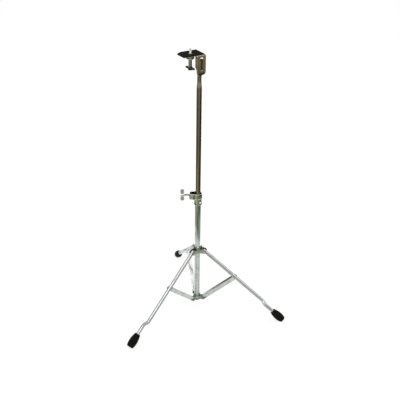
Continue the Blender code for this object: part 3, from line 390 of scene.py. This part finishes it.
FINISH = {
    "chrome": chrome_finish("mast_chrome", tone(0.51, 0.555, 0.52), tone(0.41, 0.445, 0.415)),
    "leg_chrome": chrome_finish("leg_chrome", tone(0.52, 0.545, 0.54), tone(0.42, 0.44, 0.435), polish=0.20),
    "brace_chrome": chrome_finish("brace_chrome", tone(0.54, 0.565, 0.54), tone(0.44, 0.46, 0.435), 0.0445),
    # A much brighter copy of the brace chrome, for the rear brace: painted light.
    "brace_chrome_painted_light": chrome_finish("brace_chrome_painted_light", tone(0.90, 0.92, 0.90), tone(0.78, 0.80, 0.78), 0.0445),
    "casting": casting_finish("tripod_casting", tone(0.19, 0.22, 0.17), tone(0.32, 0.35, 0.28),
                              tone(0.07, 0.075, 0.05)),
    "collar_casting": casting_finish("collar_casting", tone(0.47, 0.54, 0.42), tone(0.68, 0.75, 0.61),
                                     tone(0.11, 0.125, 0.08), 0.75),
    # Almost black casting: painted shade inside the collar's cup; also the colour of the clamp nut and shoe.
    "dark_casting_painted_shade": casting_finish("dark_casting_painted_shade", tone(0.030, 0.030, 0.022), tone(0.06, 0.06, 0.045),
                                   tone(0.015, 0.015, 0.01)),
    "wing_casting": casting_finish("wing_casting", tone(0.76, 0.78, 0.74), tone(0.92, 0.93, 0.90),
                                   tone(0.22, 0.23, 0.20), 0.3),
    "barrel_casting": casting_finish("barrel_casting", tone(0.25, 0.275, 0.21), tone(0.36, 0.39, 0.31),
                                     tone(0.09, 0.10, 0.07)),
    "aged_nickel": nickel_finish(),
    "bracket": bracket_finish(),
    "zinc": zinc_finish("bright_zinc", tone(0.60, 0.60, 0.57), tone(0.44, 0.44, 0.41)),
    # Near-white and hardly metallic: a painted highlight, used on the collar rivet, the collar's rim and the pad
    # screw's stud.
    "zinc_painted_glint": zinc_finish("zinc_painted_glint", tone(0.97, 0.98, 0.95), tone(0.90, 0.91, 0.88), 0.15),
    "black_rubber": rubber_finish(),
    "dark_steel": dark_steel_finish(),
    # Near-black fibre: partly painted shade in the bracket's slot.
    "fibre": fibre_finish(),
    "nylon": nylon_finish(),
}

# %% [markdown]
# ## Painting the frame
# Every piece of the frame takes the finish that the record names for it, or one of its own
# where the photograph shows it brighter, browner or duller than its neighbours.

# %% Give each piece its finish
OWN_FINISH = {
    "height_collar": "collar_casting", "runner": "casting", "lower_spider": "casting",
    "leg_1": "leg_chrome", "leg_2": "leg_chrome", "leg_3": "leg_chrome",
    # The rear brace takes the brighter copy of the brace chrome: painted light.
    "brace_1": "brace_chrome", "brace_2": "brace_chrome_painted_light", "brace_3": "brace_chrome",
    # The bracket's finish paints shade along its foot, and the friction washer's near-black fibre is partly
    # painted shade in the slot.
    "head_bracket": "bracket", "friction_washer": "fibre", "pad_nut": "zinc",
    "pivot_bolt": "casting", "lower_rivet_1": "casting", "lower_rivet_2": "casting", "lower_rivet_3": "casting",
    # The collar rivet's near-white zinc is a painted highlight; the clamp nut and shoe take the almost black
    # casting that also paints shade inside the collar.
    "collar_rivet": "zinc_painted_glint", "clamp_nut": "dark_casting_painted_shade", "clamp_shoe": "dark_casting_painted_shade",
}

for name, item in NODES.items():
    item.data.materials.clear()
    item.data.materials.append(FINISH[OWN_FINISH.get(name, MATERIAL_SLOT[name])])
print("Painted", len(NODES), "pieces")

# %% [markdown]
# ## Soft edges
# The frame's pieces are exact, but their round sides are flat facets and their edges are knife sharp,
# which no pressed or cast piece has. Each piece that shows therefore gets a copy: the loose triangles
# are merged, flat neighbours become one face again, hard edges are rounded by a bevel, and the rest
# is shaded as round. Castings are rounded more than pressed sheet and cut tube.

# %% Make a finished piece from a mesh
ROUND_ANGLE = math.radians(37)
FLAT_ANGLE = math.radians(0.5)
MERGE = 0.000001
BODY = {node: body for body, nodes in frame["record"]["behaviour"]["bodies"].items() for node in nodes}


def finished(name, bm, finish, node):
    """An object made of a mesh, which stands for a node of the frame and rides on its body."""
    mesh = bpy.data.meshes.new(name)
    bm.to_mesh(mesh)
    bm.free()
    mesh.shade_smooth()
    mesh.set_sharp_from_angle(angle=ROUND_ANGLE)
    mesh.materials.append(finish)
    item = bpy.data.objects.new(name, mesh)
    SCENE.collection.objects.link(item)
    flat = item.modifiers.new("flat_faces_stay_flat", "WEIGHTED_NORMAL")
    flat.keep_sharp = True
    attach(item, BODY[node])
    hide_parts(node)
    return item


def merged_copy(node):
    """A node's mesh in one skin, with flat neighbours joined."""
    bm = bmesh.new()
    bm.from_mesh(NODES[node].data)
    bmesh.ops.remove_doubles(bm, verts=bm.verts, dist=MERGE)
    bmesh.ops.dissolve_limit(bm, angle_limit=FLAT_ANGLE, verts=bm.verts, edges=bm.edges)
    return bm


def round_off(bm, width, segments=2, clamp=True):
    """Rounds every hard edge of a mesh, and clears edges of no length before and after."""
    bmesh.ops.dissolve_degenerate(bm, dist=MERGE * 10, edges=bm.edges)
    hard = [edge for edge in bm.edges if edge.is_manifold and edge.calc_face_angle() > ROUND_ANGLE]
    bmesh.ops.bevel(bm, geom=hard, offset=width, offset_type="OFFSET", segments=segments, profile=0.5,
                    affect="EDGES", clamp_overlap=clamp, material=-1)
    bmesh.ops.remove_doubles(bm, verts=bm.verts, dist=MERGE)
    bmesh.ops.dissolve_degenerate(bm, dist=MERGE, edges=bm.edges)
    return bm


# %% Round the edges of the pieces that show
EDGES = {
    0.0006: ["height_collar", "runner", "lower_spider"],
    0.0004: ["plate_rubber", "pad_nut", "pivot_nut", "cup_washer"],
    0.00025: ["head_bracket", "friction_washer", "brace_1", "brace_2", "brace_3"],
    0.0002: ["base_tube", "upper_tube", "leg_1", "leg_2", "leg_3", "pivot_bolt", "collar_rivet",
             "leg_bush_1", "leg_bush_2", "leg_bush_3", "pivot_spacer"],
}
RIVETS = [name for name in NODES if name.startswith(("lower_rivet", "brace_rivet", "runner_rivet"))]
EDGES[0.0002] += RIVETS

SKINS = {}
for width, names in EDGES.items():
    for name in names:
        skin = round_off(merged_copy(name), width)
        SKINS[name] = finished(name + "_finished", skin, NODES[name].data.materials[0], name)
print("Rounded", sum(len(names) for names in EDGES.values()), "pieces")

# %% [markdown]
# ### Painted shade inside the collar
# The faces of the collar's cup that look inwards, and the floor of the cup, get a second, almost black
# material: painted shade in the hollow of the cup. The top of its rim gets a third, near-white one:
# a painted highlight.

# %% Blacken the inside of the collar
COLLAR_RIM = 0.0012
COLLAR_NOSE = 0.0080

collar_low, collar_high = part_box("height_collar")
collar_hub = Vector(JOINTS["clamp_screw_turn"]["pos_m"]) + Vector(JOINTS["clamp_screw_turn"]["axis"]) * COLLAR_NOSE
cup_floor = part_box("base_tube")[1].z
collar_mesh = SKINS["height_collar"].data
collar_mesh.materials.append(FINISH["dark_casting_painted_shade"])
collar_mesh.materials.append(FINISH["zinc_painted_glint"])
inside = 0
# Painted shade on the faces inside the cup and on its floor; a painted highlight on the top of the rim.
for face in collar_mesh.polygons:
    inwards = face.normal.xy.dot(face.center.xy - collar_hub.xy) < 0
    level = face.normal.z > 0.9
    if cup_floor < face.center.z < collar_high.z - COLLAR_RIM and (inwards or level):
        face.material_index = 1
        inside += 1
    elif face.center.z > collar_high.z - COLLAR_RIM / 2:
        face.material_index = 2
print("Blackened", inside, "faces inside the collar")

# %% [markdown]
# ## Threads
# A thread is one tooth spun up a helix. The tooth is three short edges, and each full turn of the spin
# lifts it by one pitch, so that it meets itself. Two cuts and two caps then give the rod its length.

# %% Spin a threaded rod
TOOTH = [(0.0, 0.0), (0.42, 1.0), (0.58, 1.0), (1.0, 0.0)]
THREAD_DEPTH = 0.55
THREAD_STEPS = 16


def threaded_rod(radius, pitch, low, high):
    """A threaded rod along Z, with a crest radius and a flat end at each height."""
    turns = math.ceil((high - low) / pitch) + 3
    bm = bmesh.new()
    root = radius - pitch * THREAD_DEPTH
    corners = [bm.verts.new((root + (radius - root) * crest, 0, low + (share - 1.53) * pitch))
               for share, crest in TOOTH]
    tooth = [bm.edges.new(pair) for pair in zip(corners, corners[1:])]
    bmesh.ops.spin(bm, geom=corners + tooth, cent=(0, 0, 0), axis=(0, 0, 1),
                   dvec=(0, 0, pitch / THREAD_STEPS), angle=math.tau * turns, steps=THREAD_STEPS * turns,
                   use_merge=False, use_duplicate=False)
    bmesh.ops.remove_doubles(bm, verts=bm.verts, dist=pitch / 100)
    for height, upward in ((low, -1), (high, 1)):
        bmesh.ops.bisect_plane(bm, geom=bm.verts[:] + bm.edges[:] + bm.faces[:], plane_co=(0, 0, height),
                               plane_no=(0, 0, upward), clear_outer=True)
        bmesh.ops.holes_fill(bm, edges=[edge for edge in bm.edges if edge.is_boundary and
                                        all(abs(vert.co.z - height) < MERGE for vert in edge.verts)])
    bmesh.ops.recalc_face_normals(bm, faces=bm.faces)
    return bm


def turned(profile, steps=48):
    """A solid turned about Z from a profile of (radius, height) points that ends on the axis."""
    bm = bmesh.new()
    corners = [bm.verts.new((radius, 0, height)) for radius, height in profile]
    sides = [bm.edges.new(pair) for pair in zip(corners, corners[1:])]
    bmesh.ops.spin(bm, geom=corners + sides, cent=(0, 0, 0), axis=(0, 0, 1), angle=math.tau, steps=steps,
                   use_merge=True, use_duplicate=False)
    bmesh.ops.remove_doubles(bm, verts=bm.verts, dist=MERGE)
    bmesh.ops.recalc_face_normals(bm, faces=bm.faces)
    return bm


def placed(bm, matrix):
    """A mesh moved by a matrix."""
    bmesh.ops.transform(bm, matrix=matrix, verts=bm.verts)
    return bm


# %% [markdown]
# ## The three screws
# The clamp screw is a wing screw with a bright cast head. The pad screw is a long one: a threaded stud
# that screws into the pad, a plated barrel and dark wings. The runner's lock screw has a knurled knob.
# The wings are cut from the frame's own pieces, because their shape is right; shanks and knobs are new.

# %% Lay a piece along a joint's axis
def on_axis(joint):
    """The matrix that lays Z along a joint's axis, from the joint's own point."""
    spot = JOINTS[joint]
    turn = Vector(spot["axis"]).to_track_quat("Z", "Y").to_matrix().to_4x4()
    return Matrix.Translation(spot["pos_m"]) @ turn


def cut_off(bm, matrix, height, upward):
    """Cuts away what lies past a height on a screw's axis and caps the cut."""
    way = matrix.to_3x3() @ Vector((0, 0, upward))
    cut = bmesh.ops.bisect_plane(bm, geom=bm.verts[:] + bm.edges[:] + bm.faces[:],
                                 plane_co=matrix @ Vector((0, 0, height)), plane_no=way, clear_outer=True)
    edges = [part for part in cut["geom_cut"] if isinstance(part, bmesh.types.BMEdge)]
    bmesh.ops.holes_fill(bm, edges=edges)
    return bm


# %% Clamp screw
CLAMP_SHANK_RADIUS = 0.0030
CLAMP_SHANK_START = 0.0121
CLAMP_SHANK_END = 0.0436
CLAMP_PITCH = 0.0010

clamp_axis = on_axis("clamp_screw_turn")
wings = cut_off(merged_copy("clamp_screw"), clamp_axis, CLAMP_SHANK_END - 0.0004, -1)
finished("clamp_screw_wings", round_off(wings, 0.0007, 3), FINISH["wing_casting"], "clamp_screw")
shank = threaded_rod(CLAMP_SHANK_RADIUS, CLAMP_PITCH, CLAMP_SHANK_START, CLAMP_SHANK_END)
finished("clamp_screw_thread", placed(shank, clamp_axis), FINISH["zinc"], "clamp_screw")

# %% Pad screw
STUD_RADIUS = 0.003175
STUD_PITCH = 0.00127
BARREL_RADIUS = 0.00515
BARREL_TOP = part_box("cup_washer")[0].z - 0.0003
HUB_RADIUS = 0.00633
HUB_HEIGHT = 0.0120
HUB_BARE = 0.0095
SHELL = 0.0004

pad_low, pad_high = [corner.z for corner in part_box("pad_screw")]
pad_axis = on_axis("pad_screw_turn") @ Matrix.Translation((0, 0, -JOINTS["pad_screw_turn"]["pos_m"][2]))
hub_top = pad_low + HUB_HEIGHT
wings = cut_off(merged_copy("pad_screw"), pad_axis, hub_top, 1)
finished("pad_screw_wings", round_off(wings, 0.0004, 3, clamp=False), FINISH["dark_steel"], "pad_screw")
stud = threaded_rod(STUD_RADIUS, STUD_PITCH, BARREL_TOP - SHELL, pad_high)
# The stud takes the near-white zinc: a painted highlight.
finished("pad_screw_stud", placed(stud, pad_axis), FINISH["zinc_painted_glint"], "pad_screw")
groove = HUB_RADIUS - SHELL * 2
barrel = turned([
    (0, pad_low + HUB_BARE), (HUB_RADIUS, pad_low + HUB_BARE), (HUB_RADIUS, hub_top - SHELL * 6),
    (groove, hub_top - SHELL * 5), (groove, hub_top - SHELL * 3), (HUB_RADIUS, hub_top - SHELL * 2),
    (HUB_RADIUS, hub_top), (BARREL_RADIUS, hub_top + SHELL * 3), (BARREL_RADIUS, BARREL_TOP - SHELL),
    (BARREL_RADIUS - SHELL, BARREL_TOP), (0, BARREL_TOP)])
finished("pad_screw_barrel", placed(round_off(barrel, 0.00015), pad_axis), FINISH["barrel_casting"], "pad_screw")

# %% Runner screw
RUNNER_SHANK_RADIUS = 0.0025
RUNNER_PITCH = 0.0008
RUNNER_SHANK_START = 0.009825
KNOB_LOW = 0.019825
KNOB_HIGH = 0.026825
KNOB_RADIUS = 0.0055
KNOB_EDGE = 0.0008
KNURLS = 36


def knurled_knob():
    """A round knob whose rim has a straight knurl: every other face of the rim is sunk."""
    rim = KNOB_RADIUS - KNOB_EDGE
    bm = turned([(0, KNOB_LOW), (rim, KNOB_LOW), (KNOB_RADIUS, KNOB_LOW + KNOB_EDGE),
                 (KNOB_RADIUS, KNOB_HIGH - KNOB_EDGE), (rim, KNOB_HIGH), (rim / 2, KNOB_HIGH),
                 (rim / 2 - KNOB_EDGE / 2, KNOB_HIGH - KNOB_EDGE / 2), (0, KNOB_HIGH - KNOB_EDGE / 2)], KNURLS * 2)
    band = [face for face in bm.faces if abs(face.normal.z) < 0.01 and face.calc_center_median().xy.length > rim]
    band.sort(key=lambda face: math.atan2(face.calc_center_median().y, face.calc_center_median().x))
    bmesh.ops.inset_individual(bm, faces=band[::2], thickness=KNOB_EDGE / 12, depth=-KNOB_EDGE / 3)
    return bm


runner_axis = on_axis("runner_screw_turn")
finished("runner_screw_knob", placed(knurled_knob(), runner_axis), FINISH["wing_casting"], "runner_screw")
shank = threaded_rod(RUNNER_SHANK_RADIUS, RUNNER_PITCH, RUNNER_SHANK_START, KNOB_LOW + KNOB_EDGE / 2)
finished("runner_screw_thread", placed(shank, runner_axis), FINISH["zinc"], "runner_screw")

# %% [markdown]
# ## The rubber feet
# Each foot is moulded as one barrel that grips the end of its leg. It is widest low down, and fine
# rings are moulded round its lower half. It has worn flat where it stands, so the turned shape is cut
# by the floor. The leg's own line is read from the frame: from the knee to the middle of its top rivet.

# %% Turn the feet
FOOT_LENGTH = 0.0490
FOOT_OFF_FLOOR = 0.0022
FOOT_TOP_RADIUS = 0.0095
FOOT_WIDE_RADIUS = 0.0145
FOOT_END_RADIUS = 0.0118
FOOT_WIDE_DOWN = 0.0300
FOOT_BORE_RADIUS = 0.00665
FOOT_BORE_DEPTH = 0.0400
FOOT_LIP = 0.0010
JOGGLE = 0.0095
FOOT_STEPS = 24
RING_FIRST = 0.0260
RING_LAST = 0.0440
RING_PITCH = 0.0030
RING_DEPTH = 0.00035


def foot_radius(depth):
    """The radius of a foot at a depth below its top, with its moulded rings."""
    if depth < FOOT_WIDE_DOWN:
        share = math.sin(depth / FOOT_WIDE_DOWN * math.pi / 2)
        radius = FOOT_TOP_RADIUS + (FOOT_WIDE_RADIUS - FOOT_TOP_RADIUS) * share
    else:
        share = math.cos((depth - FOOT_WIDE_DOWN) / (FOOT_LENGTH - FOOT_WIDE_DOWN) * math.pi / 2)
        radius = FOOT_END_RADIUS + (FOOT_WIDE_RADIUS - FOOT_END_RADIUS) * share
    if RING_FIRST < depth < RING_LAST:
        radius -= RING_DEPTH * (0.5 - 0.5 * math.cos((depth - RING_FIRST) / RING_PITCH * math.tau))
    return radius


def foot_profile(top):
    """Half of a foot's outline from the floor of its bore round to its end, at a top height."""
    side = []
    for step in range(FOOT_STEPS * 3 + 1):
        depth = FOOT_LIP + (FOOT_LENGTH - FOOT_LIP * 2) * step / (FOOT_STEPS * 3)
        side.append((foot_radius(depth), top - depth))
    bore = [(0, top - FOOT_BORE_DEPTH), (FOOT_BORE_RADIUS, top - FOOT_BORE_DEPTH),
            (FOOT_BORE_RADIUS, top - FOOT_LIP), (FOOT_BORE_RADIUS + FOOT_LIP / 2, top)]
    return (bore + [(FOOT_TOP_RADIUS - FOOT_LIP, top)] + side
            + [(FOOT_END_RADIUS - FOOT_LIP, top - FOOT_LENGTH), (0, top - FOOT_LENGTH)])


def leg_matrix(number):
    """The matrix of a leg's own space: Z up the leg from its knee, Y along the knee's axis."""
    knee = Vector(JOINTS[f"leg_{number}_knee"]["pos_m"])
    across = Vector(JOINTS[f"leg_{number}_knee"]["axis"])
    heads = [corner for side in "ab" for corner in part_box(f"runner_rivet_{number}{side}")]
    upward = (sum(heads, Vector()) / len(heads) - knee).normalized()
    columns = Matrix((across.cross(upward), across, upward)).transposed()
    return Matrix.Translation(knee) @ columns.to_4x4()


for number in (1, 2, 3):
    leg = leg_matrix(number)
    along = leg.translation.z / leg.to_3x3().col[2].z
    foot = placed(turned(foot_profile(FOOT_OFF_FLOOR + FOOT_LENGTH - along)), Matrix.Translation((0, -JOGGLE, 0)))
    foot = cut_off(placed(foot, leg), Matrix(), 0.0, -1)
    finished(f"foot_{number}_rubber", foot, FINISH["black_rubber"], f"foot_{number}")
print("The feet stand", round(along, 4), "m from their knees")

# %% [markdown]
# ## Floor and light
# The background is white in the photograph, and the feet throw only a faint shadow. The floor is
# therefore part white glow, which the camera and the metal see, and part plain matt white,
# which keeps the shadow.

# %% The white floor
FLOOR_HALF = 14.0
FLOOR_GLOW = 0.74
GLOW_STRENGTH = 1.06


def seen(finish):
    """1 where a ray comes from the camera, a mirror or glass, else 0."""
    rays = ("Is Camera Ray", "Is Glossy Ray", "Is Transmission Ray")
    parts = [finish.node("ShaderNodeLightPath", output=ray) for ray in rays]
    return parts[0] + parts[1] + parts[2]


def floor_material():
    """Matt white with a share of white glow."""
    finish = Finish(bpy.data.materials.new("white_floor"))
    nodes = finish.tree.nodes
    nodes.remove(nodes["Principled BSDF"])
    matt = finish.node("ShaderNodeBsdfDiffuse", None, {"Color": tone(0.96, 0.96, 0.96)})
    glow = finish.node("ShaderNodeEmission", None, {"Color": tone(1, 1, 1), "Strength": GLOW_STRENGTH})
    mixed = finish.node("ShaderNodeMixShader", None, {0: seen(finish) * FLOOR_GLOW, 1: matt, 2: glow})
    finish.feed(nodes["Material Output"].inputs["Surface"], mixed)
    return finish.owner


def stage_piece(name, bm, material):
    """An object of the set, which isn't part of the stand."""
    mesh = bpy.data.meshes.new(name)
    bm.to_mesh(mesh)
    bm.free()
    mesh.materials.append(material)
    item = bpy.data.objects.new(name, mesh)
    SCENE.collection.objects.link(item)
    return item


floor_bm = bmesh.new()
bmesh.ops.create_grid(floor_bm, x_segments=1, y_segments=1, size=FLOOR_HALF,
                      matrix=Matrix.Translation((0, 0, -0.0003)))
stage_piece("floor", floor_bm, floor_material())

# %% The world
world = bpy.data.worlds.new("studio")
SCENE.world = world
studio = Finish(world)
plain = studio.tree.nodes["Background"]
studio.feed(plain.inputs["Color"], tone(1, 1, 1))
studio.feed(plain.inputs["Strength"], seen(studio) * 0.15 + 0.85)

# %% [markdown]
# ### What the metal sees
# Bright metal in an all-white room looks like paper. In the photograph the tubes are pale near the floor
# and dark further up, because they mirror a sheet of white paper and, past its edge, a dim room.
# Upright tubes mirror what lies below the camera's line, so the room needs a floor as well as walls.
# It is one shell around the stand that only shows in the metal: the camera and the light pass it by.

# %% The dim room
PAPER_RADIUS = 0.47
ROOM_RADIUS = 2.65
ROOM_HEIGHT = 2.4
NEAR_TONES = [
    (-160, tone(0.30, 0.33, 0.26)),
    (-118, tone(0.12, 0.14, 0.10)),
    (-60, tone(0.42, 0.44, 0.38)),
    (30, tone(0.44, 0.46, 0.42)),
    (120, tone(0.44, 0.47, 0.42)),
]
MIDDLE_TONES = [
    (-165, tone(0.62, 0.66, 0.54)),
    (-145, tone(1.0, 1.0, 0.88)),
    (-121, tone(0.40, 0.41, 0.33)),
    (-95, tone(0.20, 0.18, 0.13)),
    (-65, tone(0.13, 0.10, 0.07)),
    (30, tone(0.09, 0.08, 0.06)),
    (100, tone(0.20, 0.20, 0.17)),
    (140, tone(0.30, 0.32, 0.25)),
]
FAR_TONES = [
    (-165, tone(0.13, 0.13, 0.11)),
    (-135, tone(0.28, 0.28, 0.22)),
    (-112, tone(0.38, 0.38, 0.30)),
    (-92, tone(0.28, 0.26, 0.19)),
    (-70, tone(0.09, 0.07, 0.04)),
    (-47, tone(0.03, 0.02, 0.008)),
    (-10, tone(0.05, 0.035, 0.015)),
    (30, tone(0.07, 0.06, 0.04)),
    (90, tone(0.12, 0.12, 0.10)),
    (140, tone(0.14, 0.14, 0.11)),
]
SKIRTING_TONES = [
    (-150, tone(0.60, 0.62, 0.55)),
    (-95, tone(0.50, 0.46, 0.36)),
    (-58, tone(0.42, 0.33, 0.23)),
    (-15, tone(0.40, 0.36, 0.28)),
    (60, tone(0.24, 0.25, 0.22)),
    (120, tone(0.64, 0.68, 0.56)),
]
WALL_TONES = [
    (-165, tone(0.85, 0.86, 0.84)),
    (-95, tone(0.60, 0.60, 0.56)),
    (-45, tone(0.85, 0.86, 0.83)),
    (0, tone(0.70, 0.71, 0.68)),
    (35, tone(0.12, 0.13, 0.12)),
    (95, tone(0.12, 0.13, 0.12)),
    (140, tone(0.75, 0.76, 0.73)),
]


def room_material():
    """Dim walls and floor: olive on the side that has light, brown and almost black on the other."""
    finish = Finish(bpy.data.materials.new("dim_room"))
    nodes = finish.tree.nodes
    nodes.remove(nodes["Principled BSDF"])
    place = finish.place()
    across, along, height = [finish.node("ShaderNodeSeparateXYZ", None, {0: place}, axis) for axis in range(3)]
    reach = finish.node("ShaderNodeVectorMath", {"operation": "LENGTH"}, {0: place}, "Value")
    azimuth = finish.node("ShaderNodeMath", {"operation": "ARCTAN2"}, {0: along, 1: across})

    def all_round(tones):
        stops = [((degrees + 180) / 360, colour) for degrees, colour in tones]
        return finish.node("ShaderNodeValToRGB", {"stops": stops}, {0: azimuth * (1 / math.tau) + 0.5})

    near = finish.blend(finish.band(reach, 0.63, 0.74), all_round(NEAR_TONES), all_round(MIDDLE_TONES))
    ground = finish.blend(finish.band(reach, 0.88, 1.10), near, all_round(FAR_TONES))
    wall = finish.blend(finish.band(height, 0.25, 0.60), all_round(SKIRTING_TONES), all_round(WALL_TONES))
    colour = finish.blend(finish.band(height, 0.0, 0.04), ground, wall)
    light = finish.node("ShaderNodeEmission", None, {"Color": colour, "Strength": 1.0})
    finish.feed(nodes["Material Output"].inputs["Surface"], light)
    return finish.owner


room_bm = bmesh.new()
corners = [room_bm.verts.new(place) for place in
           ((PAPER_RADIUS, 0, 0.001), (ROOM_RADIUS, 0, 0.001), (ROOM_RADIUS, 0, ROOM_HEIGHT))]
sides = [room_bm.edges.new(pair) for pair in zip(corners, corners[1:])]
bmesh.ops.spin(room_bm, geom=corners + sides, cent=(0, 0, 0), axis=(0, 0, 1), angle=math.tau,
               steps=64, use_merge=True, use_duplicate=False)
room = stage_piece("dim_room", room_bm, room_material())
room.visible_camera = False
room.visible_shadow = False
room.visible_diffuse = False
room.visible_transmission = False

# %% Lamps
LAMPS = [
    ("key", (-1.6, -1.4, 2.2), 1.4, 13.0),
    ("fill", (1.9, -0.9, 1.5), 1.6, 6.0),
    ("back", (-0.9, 1.9, 1.9), 1.4, 6.0),
]
LAMP_TARGET = Vector((0.0, 0.0, 0.45))
for name, place, size, power in LAMPS:
    lamp = bpy.data.lights.new(name, "AREA")
    lamp.size = size
    lamp.energy = power
    item = bpy.data.objects.new(name, lamp)
    item.location = place
    item.rotation_euler = (LAMP_TARGET - Vector(place)).to_track_quat("-Z", "Y").to_euler()
    SCENE.collection.objects.link(item)
